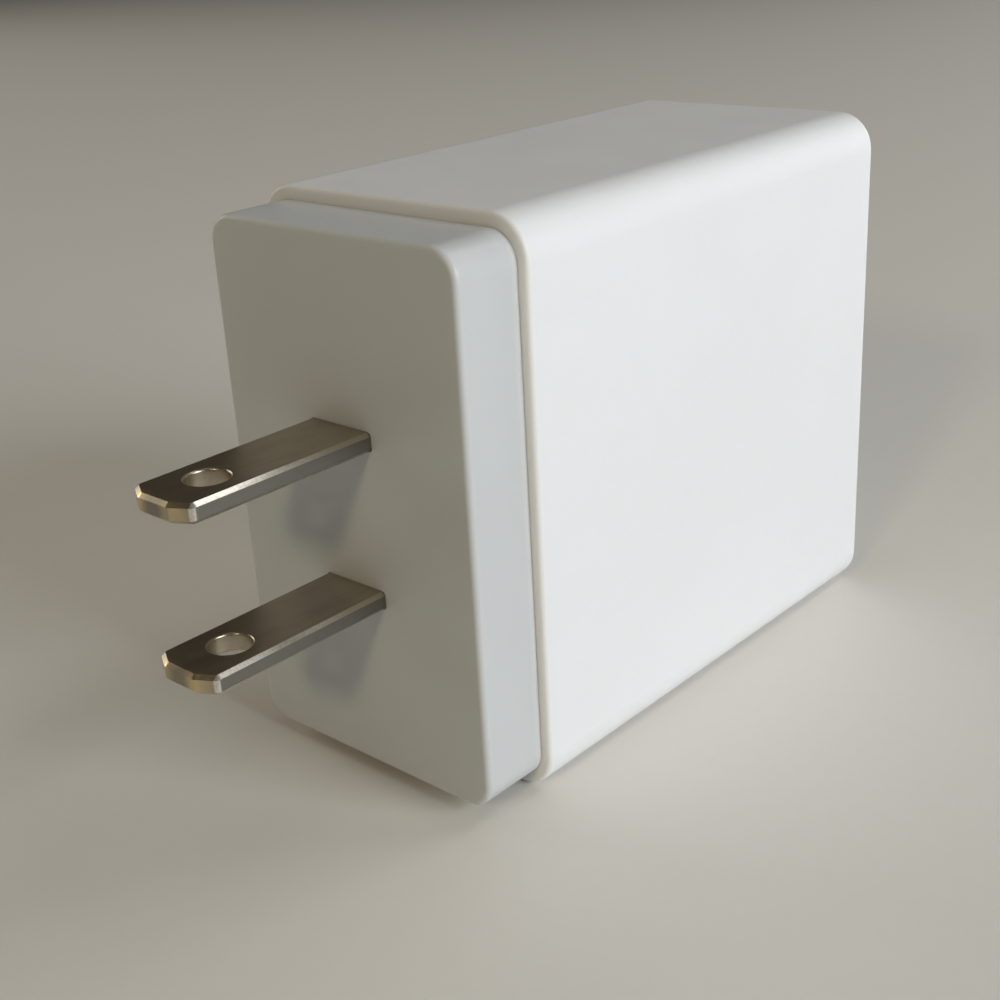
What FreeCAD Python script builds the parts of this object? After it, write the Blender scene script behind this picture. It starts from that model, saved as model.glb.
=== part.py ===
"""Wall charger with two flat mains blades and a row of USB sockets, in millimetres.

The origin is the centre of the plug face. The blades point along -Y, the sockets open along +Y,
and +Z is up when the charger stands on its narrow side.
"""
import FreeCAD, Part
import math
import os

# Casing: a sleeve closed by the port wall, and a plug cap seated on its open end
sleeve_width = 27.0
sleeve_height = 45.2
sleeve_length = 47.0
sleeve_wall = 2.0
port_wall = 2.2
sleeve_corner_radius = 3.2
port_edge_radius = 0.5
rim_edge_radius = 0.35
cap_side_step = 0.85
cap_top_step = 1.1
cap_depth = 6.1
cap_face_thickness = 2.5
cap_edge_radius = 0.45
lip_length = 4.0
lip_wall = 1.2
lip_clearance = 0.1

# Mains blades, with a shoulder that seats on the boss inside the cap
blade_width = 6.35
blade_thickness = 1.5
blade_spacing = 12.7
blade_length = 16.75
blade_hole_diameter = 3.2
blade_hole_distance = 12.15
blade_hole_edge_radius = 0.2
blade_edge_bevel = 0.3
blade_corner_width = 1.6
blade_corner_length = 0.9
blade_corner_radius = 0.6
blade_shoulder_width = 8.0
blade_shoulder_length = 3.0
blade_slot_clearance = 0.02
boss_wall = 2.0
boss_depth = 2.6

# USB sockets, standing on the port board behind the port wall
port_count = 3
port_pitch = 12.0
port_clearance = 0.2
port_lead_in = 0.3
socket_width = 13.1
socket_height = 5.7
socket_length = 12.0
socket_sheet = 0.3
socket_corner_radius = 0.6
socket_recess = 0.5
socket_base_depth = 2.8
socket_fit = 0.05
socket_leg_width = 2.0
leaf_width = 2.2
leaf_offset = 3.2
leaf_front = 2.8
leaf_length = 5.0
leaf_bow = 0.4
leaf_gap = 0.3
tongue_width = 11.1
tongue_thickness = 1.84
tongue_offset = 0.64
tongue_recess = 2.0
contact_width = 1.0
contact_thickness = 0.25
contact_bow = 0.35
contact_setback = 0.8
contact_tail_width = 0.6
contact_inner_spacing = 2.0
contact_outer_spacing = 7.0

# How far a cut runs past the faces that it opens
cut_margin = 1.0

# Boards, rails and posts
board_thickness = 1.6
board_standoff = 3.0
board_edge_clearance = 0.4
board_rear_gap = 2.0
board_front_gap = 0.3
groove_clearance = 0.1
rail_depth = 1.7
rail_width = 1.2
post_diameter = 2.8
post_inset = 2.0
sheet_thickness = 0.25
hole_clearance = 0.1
lead_diameter = 0.6
lead_protrusion = 0.7
component_gap = 0.5

# Contact springs
spring_width = 4.0
spring_thickness = 0.4
spring_foot = 2.6
spring_edge_gap = 0.6
spring_tail_width = 1.2

# Line filter
fuse_length = 8.4
fuse_thickness = 4.2
fuse_height = 8.0
fuse_pitch = 5.08
choke_diameter = 8.6
choke_bore = 4.4
choke_thickness = 4.0
choke_wire = 0.6
choke_half_angle = 50.0
line_capacitor_length = 13.0
line_capacitor_thickness = 4.0
line_capacitor_height = 9.0
line_capacitor_pitch = 10.0

# Capacitors
bulk_diameter = 8.0
bulk_height = 15.0
bulk_pitch = 3.5
output_diameter = 6.3
output_height = 11.0
output_pitch = 2.5
can_groove = 0.35
can_edge_radius = 0.5
safety_diameter = 7.0
safety_thickness = 3.5
safety_pitch = 5.0
safety_lift = 1.0

# Transformer
core_width = 16.0
core_length = 13.0
core_thickness = 4.8
core_back = 2.2
core_center_leg = 4.2
core_outer_leg = 2.2
bobbin_wall = 0.7
bobbin_flange = 0.8
bobbin_clearance = 0.1
winding_lift = 1.0
bobbin_pin_diameter = 0.7
bobbin_pin_count = 4
bobbin_pin_pitch = 3.4
tape_thickness = 0.1
tape_width = 4.0

# Chips
chip_length = 4.9
chip_width = 3.9
chip_height = 1.5
chip_standoff = 0.1
chip_lead_width = 0.42
chip_lead_thickness = 0.2
chip_lead_span = 6.0
chip_lead_pitch = 1.27
port_chip_shift = 2.0
bridge_lead_pitch = 3.6
opto_height = 2.0
opto_lead_pitch = 2.54

# Link between the boards
link_count = 3
link_pitch = 2.0
link_pin = 0.64
link_base_depth = 2.5
link_base_height = 2.5
link_arm_height = 1.25

# Places that follow from the sizes above
sleeve_start = cap_depth
sleeve_end = sleeve_start + sleeve_length
inner_end = sleeve_end - port_wall
inner_x = sleeve_width / 2 - sleeve_wall
inner_z = sleeve_height / 2 - sleeve_wall
inner_radius = max(sleeve_corner_radius - sleeve_wall, 0.6)
cap_x = sleeve_width / 2 - cap_side_step
cap_z = sleeve_height / 2 - cap_top_step
cap_radius = sleeve_corner_radius - cap_side_step
lip_x = inner_x - lip_clearance
lip_z = inner_z - lip_clearance
lip_end = cap_depth + lip_length
pocket_x = lip_x - lip_wall
pocket_z = lip_z - lip_wall
boss_end = cap_face_thickness + boss_depth
boss_edge = blade_spacing / 2 + blade_thickness / 2 + boss_wall
blade_end = boss_end + blade_shoulder_length
blade_heights = (blade_spacing / 2, -blade_spacing / 2)

socket_front = sleeve_end - socket_recess
port_board_front = socket_front - socket_length
port_board_rear = port_board_front - board_thickness
port_heights = [(i - (port_count - 1) / 2) * port_pitch for i in range(port_count)]
socket_inner_x = socket_width / 2 - socket_sheet
socket_inner_z = socket_height / 2 - socket_sheet
contact_places = [s * d / 2 for d in (contact_outer_spacing, contact_inner_spacing) for s in (-1, 1)]

board_under = -inner_x + board_standoff
board_top = board_under + board_thickness
board_rear = cap_face_thickness + board_rear_gap
board_front = port_board_rear - board_front_gap
board_wide_start = lip_end + board_front_gap
board_half = inner_z - board_edge_clearance
tab_half = pocket_z - board_edge_clearance
rail_z = inner_z - rail_depth
keep_z = rail_z - component_gap
front_limit = port_board_rear - lead_protrusion - component_gap

spring_front = blade_end + spring_thickness + spring_foot
spring_top = blade_shoulder_width / 2 - spring_edge_gap
choke_radius = choke_diameter / 2
choke_y = board_rear + component_gap + choke_radius + choke_wire
choke_z = -(boss_edge + tab_half) / 2
choke_x = board_top + choke_radius + hole_clearance
fuse_y = board_rear + component_gap + fuse_length / 2
fuse_z = -choke_z
line_capacitor_y = spring_front + component_gap + line_capacitor_thickness / 2
line_capacitor_front = line_capacitor_y + line_capacitor_thickness / 2
bulk_z = -(keep_z - bulk_diameter / 2)
bulk_y = choke_y + choke_radius + choke_wire + component_gap + bulk_diameter / 2
output_z = keep_z - output_diameter / 2
output_y = front_limit - link_base_depth - component_gap - output_diameter / 2
core_y = line_capacitor_front + component_gap + core_length / 2
core_z = (bulk_z + bulk_diameter / 2 + output_z - output_diameter / 2) / 2
line_capacitor_z = core_z
core_window = core_width / 2 - core_outer_leg - core_center_leg / 2
bobbin_tube = bobbin_clearance + bobbin_wall
bobbin_reach = core_window - bobbin_clearance
core_x = board_top + winding_lift + core_thickness / 2 + bobbin_reach
link_y = front_limit - link_base_depth / 2
link_z = port_pitch / 2
link_arm_x = board_top + link_arm_height
safety_y = front_limit - safety_thickness / 2
safety_z = link_z - link_count * link_pitch / 2 - component_gap - safety_diameter / 2
bridge_y = board_wide_start + component_gap + chip_length / 2
opto_y = front_limit - chip_lead_span / 2
opto_z = (bulk_z + core_z) / 2
chip_offset = chip_length / 2 + component_gap


def vec(x, y, z):
    return FreeCAD.Vector(x, y, z)


def box(x0, x1, y0, y1, z0, z1):
    """A box between two corners, with the limits of each axis given in either order."""
    low = vec(min(x0, x1), min(y0, y1), min(z0, z1))
    return Part.makeBox(abs(x1 - x0), abs(y1 - y0), abs(z1 - z0), low)


def rod(x0, x1, y, z, diameter):
    """A round rod along X."""
    return Part.makeCylinder(diameter / 2, x1 - x0, vec(x0, y, z), vec(1, 0, 0))


def rounded_bar(half_x, half_z, radius, y0, y1, z=0.0):
    """A bar along Y whose section is a rectangle with rounded corners."""
    bar = box(-half_x, half_x, y0, y1, z - half_z, z + half_z)
    along = [e for e in bar.Edges if e.BoundBox.YLength > 0.5 * (y1 - y0)]
    return bar.makeFillet(radius, along)


def edges_at(shape, y):
    """The edges that lie in the plane at this depth."""
    return [e for e in shape.Edges if abs(e.BoundBox.YMin - y) < 1e-4 and abs(e.BoundBox.YMax - y) < 1e-4]


def plate(points, x0, x1):
    """A plate along X whose outline is given as points of depth and height."""
    wire = Part.makePolygon([vec(x0, y, z) for y, z in points + points[:1]])
    return Part.Face(wire).extrude(vec(x1 - x0, 0, 0))


def joined(shapes):
    """One solid from shapes that overlap or share faces."""
    whole = shapes[0]
    if len(shapes) > 1:
        whole = whole.fuse(shapes[1:])
    return whole.removeSplitter()


def with_leads(body, places, top):
    """The body of a component with straight leads, from this height down through the main board."""
    return joined([body] + [rod(board_under - lead_protrusion, top, y, z, lead_diameter) for y, z in places])


def pair_along_y(y, z, pitch):
    return [(y - pitch / 2, z), (y + pitch / 2, z)]


def pair_along_z(y, z, pitch):
    return [(y, z - pitch / 2), (y, z + pitch / 2)]


# Places where leads go through the main board
fuse_leads = pair_along_y(fuse_y, fuse_z, fuse_pitch)
line_capacitor_leads = pair_along_z(line_capacitor_y, line_capacitor_z, line_capacitor_pitch)
bulk_places = [(bulk_y + i * (bulk_diameter + component_gap), bulk_z) for i in range(2)]
output_places = [(output_y - i * (output_diameter + component_gap), output_z) for i in range(2)]
safety_leads = pair_along_z(safety_y, safety_z, safety_pitch)
choke_lead_y = (choke_radius + choke_wire / 2) * math.cos(math.radians(choke_half_angle))
choke_lead_z = choke_thickness / 2 + choke_wire / 2
choke_leads = [(choke_y + s * choke_lead_y, choke_z + t * choke_lead_z) for s in (-1, 1) for t in (-1, 1)]
bobbin_rail = core_length / 2 - core_back / 2
bobbin_pins = [(core_y + s * bobbin_rail, core_z + (i - (bobbin_pin_count - 1) / 2) * bobbin_pin_pitch)
               for s in (-1, 1) for i in range(bobbin_pin_count)]
link_places = [(link_y, link_z + (i - (link_count - 1) / 2) * link_pitch) for i in range(link_count)]
spring_tail_y = spring_front - spring_thickness / 2
spring_tails = [(spring_tail_y, z) for z in blade_heights]


def make_rails():
    """Two rails on each narrow side, with the edge of the main board between them."""
    rails = []
    for side in (-1, 1):
        outside = side * (inner_z + sleeve_wall / 4)
        ledge_top = board_under - groove_clearance
        rail_foot = board_top + groove_clearance
        ends = (board_wide_start, board_front)
        rails.append(box(-inner_x - sleeve_wall / 4, ledge_top, *ends, side * rail_z, outside))
        rails.append(box(rail_foot, rail_foot + rail_width, *ends, side * rail_z, outside))
    return rails


def make_posts():
    """Four posts from the port wall back to the port board."""
    posts = []
    for side_x in (-1, 1):
        for side_z in (-1, 1):
            place = vec(side_x * (inner_x - post_inset), port_board_front, side_z * (keep_z - post_inset))
            length = inner_end + port_wall / 4 - port_board_front
            posts.append(Part.makeCylinder(post_diameter / 2, length, place, vec(0, 1, 0)))
    return posts


def make_sleeve():
    body = rounded_bar(sleeve_width / 2, sleeve_height / 2, sleeve_corner_radius, sleeve_start, sleeve_end)
    body = body.makeFillet(port_edge_radius, edges_at(body, sleeve_end))
    body = body.makeFillet(rim_edge_radius, edges_at(body, sleeve_start))
    body = body.cut(rounded_bar(inner_x, inner_z, inner_radius, sleeve_start - cut_margin, inner_end))
    half_x = socket_width / 2 + port_clearance
    half_z = socket_height / 2 + port_clearance
    radius = socket_corner_radius + port_clearance
    for z in port_heights:
        mouth = rounded_bar(half_x, half_z, radius, inner_end - cut_margin, sleeve_end + cut_margin, z)
        body = body.cut(mouth)
    mouths = [e for e in edges_at(body, sleeve_end) if abs(e.CenterOfMass.x) <= half_x + 1e-4
              and min(abs(e.CenterOfMass.z - z) for z in port_heights) <= half_z + 1e-4]
    body = body.makeChamfer(port_lead_in, mouths)
    return joined([body] + make_rails() + make_posts())


def make_cap():
    block = rounded_bar(cap_x, cap_z, cap_radius, 0, cap_depth)
    block = block.makeFillet(cap_edge_radius, edges_at(block, 0))
    lip = rounded_bar(lip_x, lip_z, inner_radius, cap_face_thickness, lip_end)
    pocket = rounded_bar(pocket_x, pocket_z, inner_radius / 2, cap_face_thickness, lip_end + cut_margin)
    cap = block.fuse(lip).cut(pocket)
    boss_x = blade_width / 2 + boss_wall
    boss_z = blade_thickness / 2 + boss_wall
    slot_x = blade_width / 2 + blade_slot_clearance
    slot_z = blade_thickness / 2 + blade_slot_clearance
    slot_radius = blade_edge_bevel + blade_slot_clearance
    for z in blade_heights:
        start = cap_face_thickness / 2
        cap = cap.fuse(box(-boss_x, boss_x, start, boss_end, z - boss_z, z + boss_z))
        cap = cap.cut(rounded_bar(slot_x, slot_z, slot_radius, -cut_margin, boss_end + cut_margin, z))
    return cap.removeSplitter()


def make_blade(height):
    half = blade_width / 2
    thick = blade_thickness / 2
    tip = -blade_length
    nose = half - blade_corner_width
    cheek = tip + blade_corner_length
    outline = [(-half, boss_end), (-half, cheek), (-nose, tip), (nose, tip), (half, cheek), (half, boss_end)]
    wire = Part.makePolygon([vec(x, y, height - thick) for x, y in outline + outline[:1]])
    blade = Part.Face(wire).extrude(vec(0, 0, blade_thickness))
    corners = [e for e in blade.Edges if e.BoundBox.ZLength > thick and e.BoundBox.YMax < 0]
    blade = blade.makeFillet(blade_corner_radius, corners)
    rims = [e for e in blade.Edges if e.BoundBox.ZLength < thick and e.BoundBox.YMin < 0]
    blade = blade.makeChamfer(blade_edge_bevel, rims)
    hole_place = vec(0, -blade_hole_distance, height - thick - cut_margin)
    hole = Part.makeCylinder(blade_hole_diameter / 2, blade_thickness + 2 * cut_margin, hole_place)
    blade = blade.cut(hole)
    rings = [e for e in blade.Edges if isinstance(e.Curve, Part.Circle)
             and abs(e.Curve.Center.x) < 1e-4 and abs(e.Curve.Center.y + blade_hole_distance) < 1e-4]
    blade = blade.makeFillet(blade_hole_edge_radius, rings)
    wide = blade_shoulder_width / 2
    shoulder = box(-wide, wide, boss_end, blade_end, height - thick, height + thick)
    return joined([blade, shoulder])


def make_spring(height):
    """A bent strip that stands on the main board and presses on the tail of a blade."""
    z0 = height - spring_width / 2
    z1 = height + spring_width / 2
    foot = box(board_top, board_top + spring_thickness, blade_end, spring_front, z0, z1)
    riser = box(board_top, spring_top, blade_end, blade_end + spring_thickness, z0, z1)
    tail = box(board_under - lead_protrusion, board_top + spring_thickness, spring_front - spring_thickness,
               spring_front, height - spring_tail_width / 2, height + spring_tail_width / 2)
    return joined([foot, riser, tail])


def make_main_board():
    board = joined([box(board_under, board_top, board_wide_start, board_front, -board_half, board_half),
                    box(board_under, board_top, board_rear, board_front, -tab_half, tab_half)])
    round_leads = (fuse_leads + line_capacitor_leads + safety_leads
                   + [p for y, z in bulk_places for p in pair_along_y(y, z, bulk_pitch)]
                   + [p for y, z in output_places for p in pair_along_y(y, z, output_pitch)])
    holes = [(y, z, lead_diameter) for y, z in round_leads]
    holes += [(y, z, choke_wire) for y, z in choke_leads]
    holes += [(y, z, bobbin_pin_diameter) for y, z in bobbin_pins]
    holes += [(y, z, math.hypot(link_pin, link_pin)) for y, z in link_places]
    holes += [(y, z, math.hypot(spring_tail_width, spring_thickness)) for y, z in spring_tails]
    drills = [rod(board_under - cut_margin, board_top + cut_margin, y, z, size + 2 * hole_clearance)
              for y, z, size in holes]
    return board.cut(drills)


def make_sheet():
    """An insulating sheet on the wall behind the solder side."""
    half = rail_z - groove_clearance
    return box(-inner_x, -inner_x + sheet_thickness, board_wide_start, board_front, -half, half)


def make_fuse():
    body = box(board_top, board_top + fuse_height, fuse_y - fuse_length / 2, fuse_y + fuse_length / 2,
               fuse_z - fuse_thickness / 2, fuse_z + fuse_thickness / 2)
    upright = [e for e in body.Edges if e.BoundBox.XLength > fuse_height / 2]
    return with_leads(body.makeFillet(can_edge_radius, upright), fuse_leads, board_top + lead_diameter)


def ring(outer, inner, thickness):
    """A flat ring around the axis of the choke."""
    base = vec(choke_x, choke_y, choke_z - thickness / 2)
    return Part.makeCylinder(outer, thickness, base).cut(Part.makeCylinder(inner, thickness, base))


def make_choke_core():
    return ring(choke_radius, choke_bore / 2, choke_thickness)


def make_choke_winding():
    """Two coils on opposite sides of the ring, each with two leads."""
    thickness = choke_thickness + 2 * choke_wire
    cover = ring(choke_radius + choke_wire, choke_bore / 2 - choke_wire, thickness).cut(make_choke_core())
    spread = math.tan(math.radians(choke_half_angle))
    coils = []
    for side in (-1, 1):
        far = choke_y + side * choke_diameter
        wide = choke_diameter * spread
        base = choke_z - thickness / 2
        corners = [vec(choke_x, choke_y, base), vec(choke_x - wide, far, base),
                   vec(choke_x + wide, far, base)]
        wedge = Part.Face(Part.makePolygon(corners + corners[:1])).extrude(vec(0, 0, thickness))
        coil = cover.common(wedge)
        drop = choke_x - choke_radius * math.sin(math.radians(choke_half_angle)) + choke_wire
        leads = [rod(board_under - lead_protrusion, drop, y, z, choke_wire) for y, z in choke_leads
                 if (y - choke_y) * side > 0]
        coils.append(joined([coil] + leads))
    return Part.makeCompound(coils)


def make_line_capacitor():
    y0 = line_capacitor_y - line_capacitor_thickness / 2
    z0 = line_capacitor_z - line_capacitor_length / 2
    body = box(board_top, board_top + line_capacitor_height, y0, y0 + line_capacitor_thickness,
               z0, z0 + line_capacitor_length)
    upright = [e for e in body.Edges if e.BoundBox.XLength > line_capacitor_height / 2]
    body = body.makeFillet(can_edge_radius, upright)
    return with_leads(body, line_capacitor_leads, board_top + lead_diameter)


def make_can(place, diameter, height, pitch):
    """A round capacitor can that stands on the main board, with a crimped groove near its foot."""
    y, z = place
    body = rod(board_top, board_top + height, y, z, diameter)
    rims = [e for e in body.Edges if e.BoundBox.XLength < 1e-4]
    body = body.makeFillet(can_edge_radius, rims)
    groove_x = board_top + 4 * can_groove + can_edge_radius
    groove = Part.makeTorus(diameter / 2 + can_groove / 2, can_groove, vec(groove_x, y, z), vec(1, 0, 0))
    return with_leads(body.cut(groove), pair_along_y(y, z, pitch), board_top + lead_diameter)


def make_safety_capacitor():
    x = board_top + safety_lift + safety_diameter / 2
    base = vec(x, safety_y - safety_thickness / 2, safety_z)
    disc = Part.makeCylinder(safety_diameter / 2, safety_thickness, base, vec(0, 1, 0))
    rims = [e for e in disc.Edges if e.BoundBox.YLength < 1e-4]
    disc = disc.makeFillet(safety_thickness / 3, rims)
    return with_leads(disc, safety_leads, x)


def make_core_half(side):
    """Half of the transformer core: a back with three legs that reach the middle."""
    x0 = core_x - core_thickness / 2
    x1 = core_x + core_thickness / 2
    end = core_y + side * core_length / 2
    half = core_width / 2
    back = box(x0, x1, end, end - side * core_back, core_z - half, core_z + half)
    center = box(x0, x1, end, core_y, core_z - core_center_leg / 2, core_z + core_center_leg / 2)
    outer = [box(x0, x1, end, core_y, core_z + t * half, core_z + t * (half - core_outer_leg))
             for t in (-1, 1)]
    return joined([back, center] + outer)


def bobbin_section(margin, y0, y1):
    """A bar along the middle leg of the core, larger than the leg by this margin."""
    half_x = core_thickness / 2 + margin
    half_z = core_center_leg / 2 + margin
    return box(core_x - half_x, core_x + half_x, y0, y1, core_z - half_z, core_z + half_z)


def make_bobbin():
    window = core_length / 2 - core_back - bobbin_clearance
    pieces = [bobbin_section(bobbin_tube, core_y - window, core_y + window)]
    under = core_x - core_thickness / 2
    half = core_width / 2
    for side in (-1, 1):
        inner_face = core_y + side * (window - bobbin_flange)
        pieces.append(bobbin_section(bobbin_reach, core_y + side * window, inner_face))
        outer_face = core_y + side * core_length / 2
        pieces.append(box(board_top, under, outer_face, inner_face, core_z - half, core_z + half))
    bobbin = joined(pieces)
    bobbin = bobbin.cut(bobbin_section(bobbin_clearance, core_y - core_length, core_y + core_length))
    pins = [rod(board_top - cut_margin, pin_top(), y, z, bobbin_pin_diameter) for y, z in bobbin_pins]
    return bobbin.cut(pins)


def pin_top():
    return (board_top + core_x - core_thickness / 2) / 2


def make_bobbin_pins():
    low = board_under - lead_protrusion
    return Part.makeCompound([rod(low, pin_top(), y, z, bobbin_pin_diameter) for y, z in bobbin_pins])


def make_winding():
    window = core_length / 2 - core_back - bobbin_clearance - bobbin_flange
    coil = bobbin_section(bobbin_reach - bobbin_clearance, core_y - window, core_y + window)
    along = [e for e in coil.Edges if e.BoundBox.YLength > window]
    coil = coil.makeFillet((bobbin_reach - bobbin_tube) / 2, along)
    return coil.cut(bobbin_section(bobbin_tube, core_y - window, core_y + window))


def make_tape():
    """A band of tape around both halves of the core."""
    half_y = core_length / 2
    half_z = core_width / 2
    x0 = core_x - tape_width / 2
    x1 = core_x + tape_width / 2
    t = tape_thickness
    outer = box(x0, x1, core_y - half_y - t, core_y + half_y + t, core_z - half_z - t, core_z + half_z + t)
    return outer.cut(box(x0, x1, core_y - half_y, core_y + half_y, core_z - half_z, core_z + half_z))


def make_chip(leads_per_side, pitch, height=chip_height):
    """A flat chip on z = 0 with bent leads along both long sides."""
    half_y = chip_width / 2
    pieces = [box(-chip_length / 2, chip_length / 2, -half_y, half_y, chip_standoff, height)]
    t = chip_lead_thickness
    middle = (chip_standoff + height + t) / 2
    bend = (half_y + chip_lead_span / 2) / 2
    for side in (-1, 1):
        for i in range(leads_per_side):
            x0 = (i - (leads_per_side - 1) / 2) * pitch - chip_lead_width / 2
            x1 = x0 + chip_lead_width
            pieces.append(box(x0, x1, side * bend, side * chip_lead_span / 2, 0, t))
            pieces.append(box(x0, x1, side * (bend - t), side * bend, 0, middle))
            pieces.append(box(x0, x1, side * (half_y - t), side * bend, middle - t, middle))
    return joined(pieces)


def seated(chip, place, normal, turn=0):
    """Stand a chip at this place on a board, turned about the way that the board faces."""
    facing = FreeCAD.Rotation(vec(0, 0, 1), normal)
    chip.Placement = FreeCAD.Placement(place, facing * FreeCAD.Rotation(vec(0, 0, 1), turn))
    return chip


def under_board(chip, y, z, turn=0):
    """Put a chip on the solder side of the main board."""
    return seated(chip, vec(board_under, y, z), vec(-1, 0, 0), turn)


def link_pin_shapes():
    """Bent pins, down through the main board and forward through the port board."""
    half = link_pin / 2
    shapes = []
    for y, z in link_places:
        leg = box(board_under - lead_protrusion, link_arm_x + half, y - half, y + half, z - half, z + half)
        arm = box(link_arm_x - half, link_arm_x + half, y - half, port_board_front + lead_protrusion,
                  z - half, z + half)
        shapes.append(joined([leg, arm]))
    return shapes


def make_link_pins():
    return Part.makeCompound(link_pin_shapes())


def make_link_header():
    half_z = link_count * link_pitch / 2
    base = box(board_top, board_top + link_base_height, link_y - link_base_depth / 2,
               link_y + link_base_depth / 2, link_z - half_z, link_z + half_z)
    return base.cut(link_pin_shapes())


def make_socket_shell(height):
    """A folded metal tube with four spring leaves and two legs that go through the port board."""
    tube = rounded_bar(socket_width / 2, socket_height / 2, socket_corner_radius,
                       port_board_front, socket_front, height)
    tube = tube.cut(rounded_bar(socket_inner_x, socket_inner_z, socket_corner_radius - socket_sheet,
                                port_board_front - cut_margin, socket_front + cut_margin,
                                height))
    pieces = []
    y1 = socket_front - leaf_front
    y0 = y1 - leaf_length
    bend = y0 + leaf_length / 3
    t = socket_sheet
    for side in (-1, 1):
        wall = height + side * socket_inner_z
        for x in (-leaf_offset, leaf_offset):
            half = leaf_width / 2 + leaf_gap
            tube = tube.cut(box(x - half, x + half, y0, y1, wall - side * t, wall + side * 2 * t))
            low = wall - side * leaf_bow
            profile = [(y1 + t, wall + side * t), (y1 + t, wall), (bend, low), (y0 + leaf_gap, wall),
                       (y0 + leaf_gap, wall + side * t), (bend, low + side * t), (y1, wall + side * t)]
            pieces.append(plate(profile, x - leaf_width / 2, x + leaf_width / 2))
    for side in (-1, 1):
        pieces.append(box(side * socket_inner_x, side * socket_width / 2, port_board_rear - lead_protrusion,
                          port_board_front + t, height - socket_leg_width / 2, height + socket_leg_width / 2))
    return joined([tube] + pieces)


def tongue_under(height):
    return height + socket_inner_z - tongue_offset - tongue_thickness


def socket_contacts(height):
    """Four bowed contacts under the tongue, with straight tails through the port board."""
    under = tongue_under(height)
    t = contact_thickness
    y0 = port_board_front + socket_base_depth
    y1 = socket_front - tongue_recess - contact_setback
    bow = y1 - (y1 - y0) / 3
    profile = [(y0, under), (bow, under - contact_bow), (y1, under), (y1, under + t),
               (bow, under - contact_bow + t), (y0, under + t)]
    shapes = []
    for x in contact_places:
        strip = plate(profile, x - contact_width / 2, x + contact_width / 2)
        tail = box(x - contact_tail_width / 2, x + contact_tail_width / 2, port_board_rear - lead_protrusion,
                   y0, under, under + t)
        shapes.append(joined([strip, tail]))
    return shapes


def make_socket_contacts(height):
    return Part.makeCompound(socket_contacts(height))


def make_socket_insulator(height):
    """A moulded base that fills the back of the socket, with the tongue in front of it."""
    half_x = socket_inner_x - socket_fit
    half_z = socket_inner_z - socket_fit
    base = rounded_bar(half_x, half_z, socket_corner_radius - socket_sheet,
                       port_board_front, port_board_front + socket_base_depth, height)
    under = tongue_under(height)
    tongue = box(-tongue_width / 2, tongue_width / 2, port_board_front + socket_base_depth / 2,
                 socket_front - tongue_recess, under, under + tongue_thickness)
    return joined([base, tongue]).cut(socket_contacts(height))


def make_port_board():
    half_x = inner_x - board_edge_clearance
    half_z = rail_z - board_edge_clearance
    board = box(-half_x, half_x, port_board_rear, port_board_front, -half_z, half_z)
    y0 = port_board_rear - cut_margin
    depth = board_thickness + 2 * cut_margin
    cuts = []
    for height in port_heights:
        tail = math.hypot(contact_tail_width, contact_thickness) + 2 * hole_clearance
        z = tongue_under(height) + contact_thickness / 2
        cuts += [Part.makeCylinder(tail / 2, depth, vec(x, y0, z), vec(0, 1, 0)) for x in contact_places]
        for side in (-1, 1):
            half_leg = socket_leg_width / 2 + hole_clearance
            near = side * (socket_inner_x - hole_clearance)
            far = side * (socket_width / 2 + hole_clearance)
            cuts.append(box(near, far, y0, y0 + depth, height - half_leg, height + half_leg))
    pin = math.hypot(link_pin, link_pin) + 2 * hole_clearance
    cuts += [Part.makeCylinder(pin / 2, depth, vec(link_arm_x, y0, z), vec(0, 1, 0)) for y, z in link_places]
    return board.cut(cuts)


parts = {
    "sleeve": make_sleeve(),
    "plug_cap": make_cap(),
    "blade_upper": make_blade(blade_heights[0]),
    "blade_lower": make_blade(blade_heights[1]),
    "contact_spring_upper": make_spring(blade_heights[0]),
    "contact_spring_lower": make_spring(blade_heights[1]),
    "main_board": make_main_board(),
    "insulating_sheet": make_sheet(),
    "fuse": make_fuse(),
    "choke_core": make_choke_core(),
    "choke_winding": make_choke_winding(),
    "line_capacitor": make_line_capacitor(),
    "transformer_core_rear": make_core_half(-1),
    "transformer_core_front": make_core_half(1),
    "transformer_bobbin": make_bobbin(),
    "transformer_pins": make_bobbin_pins(),
    "transformer_winding": make_winding(),
    "transformer_tape": make_tape(),
    "safety_capacitor": make_safety_capacitor(),
    "optocoupler": under_board(make_chip(2, opto_lead_pitch, opto_height), opto_y, opto_z),
    "bridge_rectifier": under_board(make_chip(2, bridge_lead_pitch), bridge_y, core_z, 90),
    "control_chip": under_board(make_chip(4, chip_lead_pitch), core_y, core_z - chip_offset),
    "output_rectifier": under_board(make_chip(4, chip_lead_pitch), core_y, core_z + chip_offset),
    "link_header": make_link_header(),
    "link_pins": make_link_pins(),
    "port_board": make_port_board(),
}
for number, place in enumerate(bulk_places, 1):
    parts[f"bulk_capacitor_{number}"] = make_can(place, bulk_diameter, bulk_height, bulk_pitch)
for number, place in enumerate(output_places, 1):
    parts[f"output_capacitor_{number}"] = make_can(place, output_diameter, output_height, output_pitch)
for number, height in enumerate(port_heights, 1):
    parts[f"usb_shell_{number}"] = make_socket_shell(height)
    parts[f"usb_insulator_{number}"] = make_socket_insulator(height)
    parts[f"usb_contacts_{number}"] = make_socket_contacts(height)
for number, side in enumerate((-1, 1), 1):
    place = vec(port_chip_shift, port_board_front, side * port_pitch / 2)
    parts[f"port_chip_{number}"] = seated(make_chip(4, chip_lead_pitch), place, vec(0, 1, 0), 90)

os.makedirs("parts", exist_ok=True)
for name, shape in parts.items():
    shape.exportStep(f"parts/{name}.step")
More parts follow.
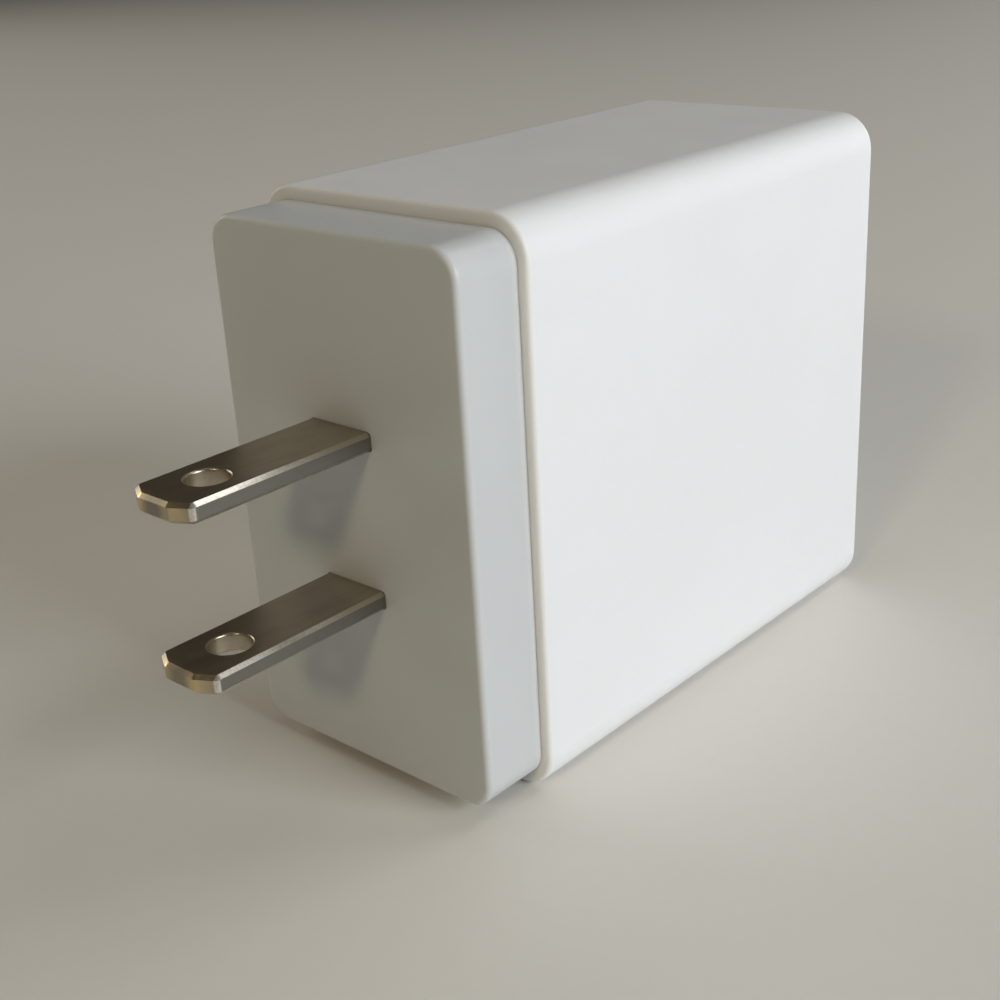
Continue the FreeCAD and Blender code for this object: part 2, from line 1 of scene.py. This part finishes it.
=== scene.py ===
"""Looks of the wall charger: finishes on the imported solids, a pale floor, soft light and the camera.

The frame is the part's own: metres, the origin at the centre of the plug face, blades along -Y,
sockets along +Y, and +Z up as the charger stands on its narrow side.
"""
import bpy
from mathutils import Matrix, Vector


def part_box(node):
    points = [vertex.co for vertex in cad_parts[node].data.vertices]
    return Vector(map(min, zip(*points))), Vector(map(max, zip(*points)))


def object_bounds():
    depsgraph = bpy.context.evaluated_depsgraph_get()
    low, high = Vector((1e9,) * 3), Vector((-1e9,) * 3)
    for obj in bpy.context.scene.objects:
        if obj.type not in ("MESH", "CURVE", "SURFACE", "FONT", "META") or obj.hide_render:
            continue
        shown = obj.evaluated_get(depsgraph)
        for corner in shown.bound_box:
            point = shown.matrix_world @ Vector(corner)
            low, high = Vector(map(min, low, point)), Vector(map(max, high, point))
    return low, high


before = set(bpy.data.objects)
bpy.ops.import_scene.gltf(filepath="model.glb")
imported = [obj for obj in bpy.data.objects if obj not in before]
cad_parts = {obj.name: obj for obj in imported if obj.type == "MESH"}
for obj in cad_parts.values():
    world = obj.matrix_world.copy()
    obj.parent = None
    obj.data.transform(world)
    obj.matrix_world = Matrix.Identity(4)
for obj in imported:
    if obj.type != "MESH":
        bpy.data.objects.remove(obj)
cad_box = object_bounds()

MM = 0.001
MICRON = 0.000001

# Sizes of the part that the finishes follow
blade_half_width = 3.175 * MM
blade_bevel = 0.3 * MM
blade_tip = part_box("blade_upper")[0].y
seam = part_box("sleeve")[0].y
floor_height = cad_box[0].z

# Camera at the photograph's angle
camera_lens = 53.4
camera_place = (77.76 * MM, -67.25 * MM, 43.03 * MM)
camera_turn = (1.17542, 0.05321, 0.72502)
camera_nearest = 5 * MM

# Soft lights: name, place, width, power in watts and colour. All face one point inside the casing.
light_target = Vector((0.0, 0.02, 0.0))
softboxes = [
    ("key", (0.72, 0.1, 0.25), 0.4, 4.05, (0.93, 0.97, 1.0)),
    ("top", (0.05, -0.05, 0.95), 0.5, 0.35, (1.0, 0.98, 0.95)),
    ("edge", (0.3, 0.55, 0.78), 0.36, 1.05, (1.0, 0.99, 0.97)),
    ("front", (0.25, -0.85, 0.5), 0.12, 1.45, (1.0, 0.84, 0.5)),
    ("back", (0.15, 1.0, 0.15), 0.5, 2.1, (0.98, 0.99, 1.0)),
    ("left", (-1.0, -0.12, 0.32), 0.5, 2.1, (1.0, 0.96, 0.88)),
]
room_colour = (1.0, 0.91, 0.73)
room_strength = 0.055

# How far an even finish goes below and above its roughness
smoother = 0.06
rougher = 0.08


class Finish:
    """One material, with short calls for the nodes that the finishes share. Lengths are in metres."""

    def __init__(self, name, colour, roughness, metallic=0.0):
        self.material = bpy.data.materials.new(name)
        self.material.use_nodes = True
        self.tree = self.material.node_tree
        self.shader = self.tree.nodes["Principled BSDF"]
        self.place = self.add("ShaderNodeTexCoord").outputs["Object"]
        self.set("Base Color", (*colour, 1.0))
        self.set("Roughness", roughness)
        self.set("Metallic", metallic)

    def add(self, kind, **settings):
        node = self.tree.nodes.new(kind)
        for key, value in settings.items():
            setattr(node, key, value)
        return node

    def join(self, value, socket):
        """Link another node's output to a socket, or set the socket to a plain value."""
        if isinstance(value, bpy.types.NodeSocket):
            self.tree.links.new(value, socket)
        else:
            socket.default_value = value

    def set(self, name, value):
        self.join(value, self.shader.inputs[name])

    def math(self, operation, a, b=0.0):
        node = self.add("ShaderNodeMath", operation=operation)
        self.join(a, node.inputs[0])
        self.join(b, node.inputs[1])
        return node.outputs[0]

    def axis(self, letter):
        node = self.add("ShaderNodeSeparateXYZ")
        self.join(self.place, node.inputs[0])
        return node.outputs[letter]

    def noise(self, grain, stretch=(1.0, 1.0, 1.0), detail=2.0, shift=0.0):
        """Noise with patches of about this size, drawn out along each axis by its stretch."""
        mapping = self.add("ShaderNodeMapping")
        self.join(self.place, mapping.inputs["Vector"])
        mapping.inputs["Scale"].default_value = [1.0 / (grain * s) for s in stretch]
        mapping.inputs["Location"].default_value = (shift, shift, shift)
        node = self.add("ShaderNodeTexNoise")
        self.join(mapping.outputs[0], node.inputs["Vector"])
        node.inputs["Scale"].default_value = 1.0
        node.inputs["Detail"].default_value = detail
        return node.outputs["Fac"]

    def span(self, value, start, end, low=0.0, high=1.0):
        """Map a value from start to end onto low to high, smoothly and held at both ends."""
        node = self.add("ShaderNodeMapRange", interpolation_type="SMOOTHSTEP")
        settings = {"Value": value, "From Min": start, "From Max": end, "To Min": low, "To Max": high}
        for name, setting in settings.items():
            self.join(setting, node.inputs[name])
        return node.outputs["Result"]

    def mix(self, share, first, second):
        """Blend two colours, each a node's output or three numbers."""
        node = self.add("ShaderNodeMix", data_type="RGBA")
        self.join(share, node.inputs[0])
        for colour, socket in ((first, node.inputs[6]), (second, node.inputs[7])):
            self.join((*colour, 1.0) if isinstance(colour, tuple) else colour, socket)
        return node.outputs[2]

    def bump(self, height, depth, under=None):
        """Relief of this depth, on top of another relief if one is given."""
        node = self.add("ShaderNodeBump")
        node.inputs["Distance"].default_value = depth
        self.join(height, node.inputs["Height"])
        if under is not None:
            self.join(under, node.inputs["Normal"])
        return node.outputs["Normal"]


def moulded_white(name, colour, shade, roughness):
    """White satin plastic with a fine moulded grain, faint clouding, light handling marks and a painted
    warm glow of light along the seam, on the thin rim of the sleeve and on the cap beside it.
    """
    # Painted light: a warm glow along the seam, on the thin rim and the cap beside it
    painted_seam_glow = (0.85, 0.82, 0.78)
    seam_glow_reach = 0.8 * MM
    seam_glow_core = 0.1 * MM
    seam_glow_share = 0.35
    finish = Finish(name, colour, roughness)
    finish.set("Subsurface Weight", 0.5)
    finish.set("Subsurface Radius", (1.0, 0.88, 0.76))
    finish.set("Subsurface Scale", 0.9 * MM)
    cloud = finish.noise(9 * MM, detail=3.0)
    marks = finish.noise(0.5 * MM, stretch=(1.0, 9.0, 3.0), detail=3.0, shift=4.0)
    scuff = finish.span(marks, 0.68, 0.76)
    tone = finish.mix(finish.span(cloud, 0.35, 0.68), colour, shade)
    worn = finish.mix(finish.math("MULTIPLY", scuff, 0.35), tone, shade)
    # Painted warm glow, strongest at the seam and fading a little way off
    from_seam = finish.math("ABSOLUTE", finish.math("SUBTRACT", finish.axis("Y"), seam))
    seam_glow_mask = finish.span(from_seam, seam_glow_reach, seam_glow_core, 0.0, seam_glow_share)
    finish.set("Base Color", finish.mix(seam_glow_mask, worn, painted_seam_glow))
    patch = finish.noise(3.5 * MM, detail=2.0, shift=9.0)
    soft = finish.span(patch, 0.3, 0.7, roughness - 0.02, roughness + 0.03)
    finish.set("Roughness", finish.math("ADD", soft, finish.math("MULTIPLY", scuff, 0.08)))
    ripple = finish.bump(finish.noise(2.4 * MM, detail=1.0), 5 * MICRON)
    finish.set("Normal", finish.bump(finish.noise(0.13 * MM, detail=2.0), 3 * MICRON, ripple))
    return finish.material


def plated_blade(name):
    """Thin warm nickel plate drawn along the blade, rubbed and with a painted highlight on its bevels,
    dull and darkened by a painted dark reflection where it was sheared off, and rubbed to brass with a
    painted golden highlight at the corners of its end.
    """
    nickel = (0.46, 0.40, 0.315)
    dull = (0.38, 0.32, 0.24)
    rubbed_and_highlight = (0.82, 0.79, 0.73)
    sheared_and_dark_reflection = (0.22, 0.21, 0.19)
    brass_and_golden_highlight = (0.72, 0.58, 0.34)
    bevel_start = blade_half_width - blade_bevel
    blur = 0.05 * MM
    # Distances from the tip: rubbing and painted highlight full up to here, faded from here on, and brass
    # with its painted golden highlight up to here
    highlight_full_length = 9 * MM
    highlight_faded_length = 14 * MM
    brass_length = 0.9 * MM
    finish = Finish(name, nickel, 0.34, metallic=1.0)
    lines = finish.noise(0.3 * MM, stretch=(1.0, 40.0, 1.0), detail=1.0)
    stain = finish.noise(2.4 * MM, stretch=(1.0, 2.0, 1.0), detail=2.0, shift=3.0)
    specks = finish.noise(0.25 * MM, detail=1.0, shift=5.0)
    streaked = finish.mix(finish.span(lines, 0.3, 0.75, 0.0, 0.3), nickel, dull)
    toned = finish.mix(finish.span(stain, 0.4, 0.72, 0.0, 0.7), streaked, dull)
    from_middle = finish.math("ABSOLUTE", finish.axis("X"))
    on_bevel = finish.span(from_middle, bevel_start - blur, bevel_start + blur)
    on_side = finish.span(from_middle, blade_half_width - 0.03 * MM, blade_half_width - 0.005 * MM)
    from_tip = finish.math("SUBTRACT", finish.axis("Y"), blade_tip)
    highlight_toward_tip = finish.span(from_tip, highlight_faded_length, highlight_full_length, 0.15, 1.0)
    rubbing_and_highlight_share = finish.math("MULTIPLY", highlight_toward_tip, finish.span(specks, 0.3, 0.6, 0.6, 0.9))
    # Painted highlight on the bevels, over rubbed plating, faded toward the root
    rubbing_and_highlight_mask = finish.math("MULTIPLY", on_bevel, rubbing_and_highlight_share)
    on_end = finish.span(from_tip, blur, 0.01 * MM)
    # Painted dark reflection on the cut sides and end, over dull sheared metal
    cut = finish.math("MAXIMUM", on_side, on_end)
    edged = finish.mix(cut, finish.mix(rubbing_and_highlight_mask, toned, rubbed_and_highlight), sheared_and_dark_reflection)
    at_tip = finish.span(from_tip, brass_length, 0.1 * MM)
    at_corner = finish.span(from_middle, 0.3 * MM, 1.5 * MM, 0.2, 0.95)
    patchy = finish.span(finish.noise(1.6 * MM, detail=0.0, shift=7.0), 0.25, 0.65, 0.6, 1.0)
    # Painted golden highlight at the corners of the end, over rubbed brass
    brass_and_highlight_share = finish.math("MULTIPLY", finish.math("MULTIPLY", at_tip, at_corner), patchy)
    finish.set("Base Color", finish.mix(brass_and_highlight_share, edged, brass_and_golden_highlight))
    sheen = finish.span(lines, 0.3, 0.75, 0.30, 0.36)
    finish.set("Roughness", finish.math("ADD", sheen, finish.math("MULTIPLY", cut, 0.1)))
    drawn = finish.bump(lines, 0.5 * MICRON)
    finish.set("Normal", finish.bump(finish.math("MULTIPLY", on_bevel, specks), 8 * MICRON, drawn))
    return finish.material


def rolled_metal(name, colour, shade, roughness, stretch):
    """Thin sheet metal or wire with fine lines along the way that it was rolled, and a faint stain."""
    finish = Finish(name, colour, roughness, metallic=1.0)
    lines = finish.noise(0.08 * MM, stretch=stretch, detail=3.0)
    stain = finish.noise(1.2 * MM, detail=3.0, shift=2.0)
    streaked = finish.mix(finish.span(lines, 0.35, 0.7, 0.0, 0.6), colour, shade)
    finish.set("Base Color", finish.mix(finish.span(stain, 0.5, 0.75, 0.0, 0.7), streaked, shade))
    finish.set("Roughness", finish.span(lines, 0.3, 0.75, roughness - smoother, roughness + rougher))
    finish.set("Normal", finish.bump(lines, 1.5 * MICRON))
    return finish.material


def grained(name, colour, shade, roughness, grain, depth):
    """A dull moulded, pressed or dipped surface with an even grain and slight changes of tone."""
    finish = Finish(name, colour, roughness)
    cloud = finish.noise(2.5 * MM, detail=3.0)
    speck = finish.noise(grain, detail=3.0, shift=6.0)
    toned = finish.mix(finish.span(cloud, 0.35, 0.7), colour, shade)
    finish.set("Base Color", finish.mix(finish.span(speck, 0.55, 0.75, 0.0, 0.5), toned, shade))
    finish.set("Roughness", finish.span(cloud, 0.3, 0.7, roughness - smoother, roughness + rougher))
    finish.set("Normal", finish.bump(speck, depth))
    return finish.material


def circuit_board(name, across, along):
    """Green lacquer over copper tracks that run along the board, with the bare laminate at its edges."""
    lacquer = (0.012, 0.10, 0.035)
    lacquered_copper = (0.03, 0.19, 0.06)
    laminate = (0.42, 0.36, 0.16)
    track_width = 0.9 * MM
    track_stretch = 14.0
    finish = Finish(name, lacquer, 0.35)
    stretch = tuple(track_stretch if letter == along else 1.0 for letter in "XYZ")
    tracks = finish.span(finish.noise(track_width, stretch=stretch, detail=0.0), 0.47, 0.5)
    over_copper = finish.mix(tracks, lacquer, lacquered_copper)
    geometry = finish.add("ShaderNodeNewGeometry")
    facing = finish.add("ShaderNodeSeparateXYZ")
    finish.join(geometry.outputs["True Normal"], facing.inputs[0])
    at_edge = finish.span(finish.math("ABSOLUTE", facing.outputs[across]), 0.6, 0.4)
    finish.set("Base Color", finish.mix(at_edge, over_copper, laminate))
    weave = finish.noise(0.3 * MM, detail=2.0)
    finish.set("Roughness", finish.span(weave, 0.3, 0.7, 0.28, 0.42))
    finish.set("Normal", finish.bump(finish.math("ADD", tracks, weave), 12 * MICRON))
    return finish.material


def wound_wire(name):
    """Enamelled copper in turns that lie side by side, with painted shade in the grooves between the
    turns.
    """
    copper = (0.70, 0.30, 0.12)
    shade_between_turns = (0.34, 0.12, 0.04)
    wire_pitch = 0.35 * MM
    # One wave of the texture is about this long at a scale of 1
    wave_length = 0.3
    finish = Finish(name, copper, 0.3, metallic=0.8)
    turns = finish.add("ShaderNodeTexWave", bands_direction="Y")
    finish.join(finish.place, turns.inputs["Vector"])
    turns.inputs["Scale"].default_value = wave_length / wire_pitch
    turns.inputs["Distortion"].default_value = 0.6
    round_top = turns.outputs["Fac"]
    # Painted shade in the grooves between the turns
    finish.set("Base Color", finish.mix(round_top, shade_between_turns, copper))
    finish.set("Roughness", finish.span(finish.noise(0.6 * MM), 0.3, 0.7, 0.24, 0.4))
    finish.set("Normal", finish.bump(round_top, 60 * MICRON))
    return finish.material


def clear_film(name):
    """Hazy clear plastic with a faint waviness."""
    finish = Finish(name, (0.9, 0.9, 0.86), 0.25)
    finish.set("Transmission Weight", 0.7)
    haze = finish.noise(1.5 * MM, detail=3.0)
    finish.set("Roughness", finish.span(haze, 0.3, 0.7, 0.16, 0.34))
    finish.set("Normal", finish.bump(haze, 8 * MICRON))
    return finish.material


along_y = (1.0, 60.0, 1.0)
along_x = (60.0, 1.0, 1.0)
node_finishes = {
    "sleeve": moulded_white("sleeve_white", (0.83, 0.843, 0.868), (0.82, 0.832, 0.855), 0.42),
    "plug_cap": moulded_white("cap_white", (0.61, 0.63, 0.645), (0.602, 0.62, 0.634), 0.36),
    "main_board": circuit_board("main_board_lacquer", "X", "Y"),
    "port_board": circuit_board("port_board_lacquer", "Y", "Z"),
}
slot_finishes = {
    "plated_brass": plated_blade("blade_nickel"),
    "spring_bronze": rolled_metal("bronze_strip", (0.68, 0.45, 0.22), (0.46, 0.28, 0.13), 0.3, along_x),
    "socket_steel": rolled_metal("socket_plate", (0.74, 0.73, 0.70), (0.6, 0.59, 0.56), 0.38, along_y),
    "gold_contacts": rolled_metal("contact_gold", (0.86, 0.63, 0.27), (0.66, 0.44, 0.16), 0.24, along_y),
    "tinned_metal": rolled_metal("tin", (0.72, 0.71, 0.68), (0.56, 0.55, 0.52), 0.34, along_x),
    "bare_can": rolled_metal("can_aluminium", (0.78, 0.78, 0.77), (0.64, 0.64, 0.63), 0.26, along_x),
    "sleeved_can": grained("can_film", (0.02, 0.03, 0.05), (0.035, 0.05, 0.08), 0.3, 0.4 * MM, 6 * MICRON),
    "black_plastic": grained("black_resin", (0.014, 0.014, 0.015), (0.028, 0.027, 0.026), 0.46,
                             0.12 * MM, 5 * MICRON),
    "yellow_plastic": grained("yellow_resin", (0.72, 0.5, 0.05), (0.62, 0.41, 0.03), 0.4,
                              0.2 * MM, 6 * MICRON),
    "yellow_tape": grained("yellow_film", (0.8, 0.6, 0.08), (0.7, 0.5, 0.05), 0.25, 0.5 * MM, 5 * MICRON),
    "blue_epoxy": grained("blue_resin", (0.02, 0.1, 0.4), (0.012, 0.07, 0.3), 0.3, 0.8 * MM, 30 * MICRON),
    "ferrite": grained("ferrite_grey", (0.05, 0.048, 0.046), (0.085, 0.08, 0.075), 0.6,
                       0.1 * MM, 8 * MICRON),
    "copper_wire": wound_wire("enamelled_copper"),
    "clear_film": clear_film("clear_sheet"),
}


def dress_nodes():
    """Give each solid its finish: its own where it has one, and otherwise its slot's."""
    for name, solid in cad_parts.items():
        slot = solid.data.materials[0].name
        solid.data.materials[0] = node_finishes.get(name) or slot_finishes[slot]


def make_floor():
    """A wide sheet of pale paper, with a faint fibre, that the charger stands on."""
    half = 3.0
    paper = (0.78, 0.755, 0.71)
    paler = (0.79, 0.765, 0.72)
    darker = (0.77, 0.745, 0.70)
    corners = [(-half, -half), (half, -half), (half, half), (-half, half)]
    mesh = bpy.data.meshes.new("floor")
    mesh.from_pydata([(x, y, floor_height) for x, y in corners], [], [(0, 1, 2, 3)])
    floor = bpy.data.objects.new("floor", mesh)
    bpy.context.scene.collection.objects.link(floor)
    finish = Finish("floor_paper", paper, 0.7)
    fibre = finish.noise(1.5 * MM, detail=4.0)
    finish.set("Base Color", finish.mix(fibre, paler, darker))
    finish.set("Normal", finish.bump(fibre, 10 * MICRON))
    mesh.materials.append(finish.material)


def add_softbox(name, place, size, power, colour):
    light = bpy.data.lights.new(name, "AREA")
    light.shape = "SQUARE"
    light.size = size
    light.energy = power
    light.color = colour
    lamp = bpy.data.objects.new(name, light)
    lamp.location = place
    lamp.rotation_mode = "QUATERNION"
    lamp.rotation_quaternion = (light_target - Vector(place)).to_track_quat("-Z", "Y")
    bpy.context.scene.collection.objects.link(lamp)


def light_the_scene():
    """A strong soft light on the wide side, weaker ones all round, and a dim warm room."""
    for softbox in softboxes:
        add_softbox(*softbox)
    world = bpy.data.worlds.new("studio")
    world.use_nodes = True
    background = world.node_tree.nodes["Background"]
    background.inputs["Color"].default_value = (*room_colour, 1.0)
    background.inputs["Strength"].default_value = room_strength
    bpy.context.scene.world = world
    bpy.context.scene.view_settings.view_transform = "Standard"


def add_camera():
    data = bpy.data.cameras.new("camera")
    data.lens = camera_lens
    data.clip_start = camera_nearest
    camera = bpy.data.objects.new("camera", data)
    camera.location = camera_place
    camera.rotation_euler = camera_turn
    bpy.context.scene.collection.objects.link(camera)
    bpy.context.scene.camera = camera


dress_nodes()
make_floor()
light_the_scene()
add_camera()
